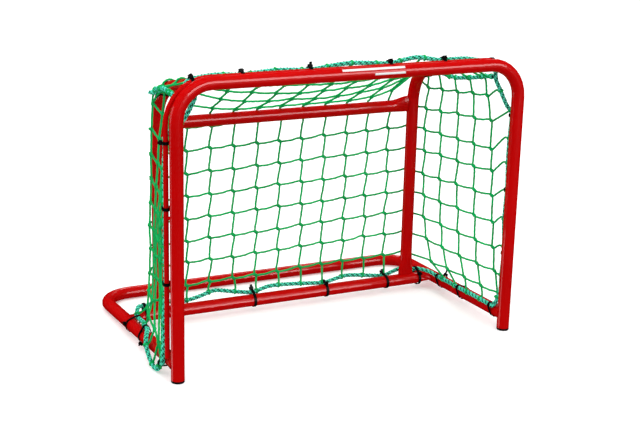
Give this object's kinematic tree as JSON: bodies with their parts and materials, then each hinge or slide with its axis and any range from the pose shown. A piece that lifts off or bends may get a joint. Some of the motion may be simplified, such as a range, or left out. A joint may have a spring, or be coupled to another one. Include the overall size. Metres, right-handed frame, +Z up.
{
  "type": "street hockey goal",
  "caption": "Small welded steel tube goal frame with a knotted net, a border rope and cable ties; it stands on two post caps and a floor-level back bar.",
  "frame": {"origin": "On the ground, under the middle of the object's bounding box", "axes": "+X along the crossbar, from the goal's left to its right seen from the mouth; +Y from the mouth to the back bar; +Z up"},
  "size_m": [0.8076, 0.5188, 0.6116],
  "materials": {
    "steel": "glossy red powder coat",
    "cap": "matte black moulded plastic",
    "tie": "black nylon",
    "net": "knotted green polyethylene twine",
    "rope": "braided light green rope"
  },
  "bodies": {
    "root": {"front_frame": "steel", "left_post_cap": "cap", "right_post_cap": "cap", "base_frame": "steel", "left_rear_upright": "steel", "right_rear_upright": "steel", "rear_top_bar": "steel", "lower_bar": "steel", "lacing_bar": "steel", "net_back": "net", "net_top": "net", "net_right_side": "net", "net_left_side": "net", "tie_crossbar_1": "tie", "tie_crossbar_2": "tie", "tie_crossbar_3": "tie", "tie_crossbar_4": "tie", "tie_crossbar_5": "tie", "tie_crossbar_6": "tie", "tie_left_post_1": "tie", "tie_left_post_2": "tie", "tie_left_post_3": "tie", "tie_right_post_1": "tie", "tie_right_post_2": "tie", "tie_right_post_3": "tie", "tie_lower_bar_1": "tie", "tie_lower_bar_2": "tie", "tie_lower_bar_3": "tie", "tie_lower_bar_4": "tie", "tie_lower_bar_5": "tie", "tie_right_base_1": "tie", "tie_right_base_2": "tie", "tie_right_base_3": "tie", "tie_left_base_1": "tie", "tie_left_base_2": "tie", "tie_left_base_3": "tie", "tie_left_seam": "tie", "tie_right_seam": "tie", "border_rope": "rope", "border_rope_free_loop": "rope", "left_seam_rope": "rope", "right_seam_rope": "rope"}
  },
  "joints": []
}
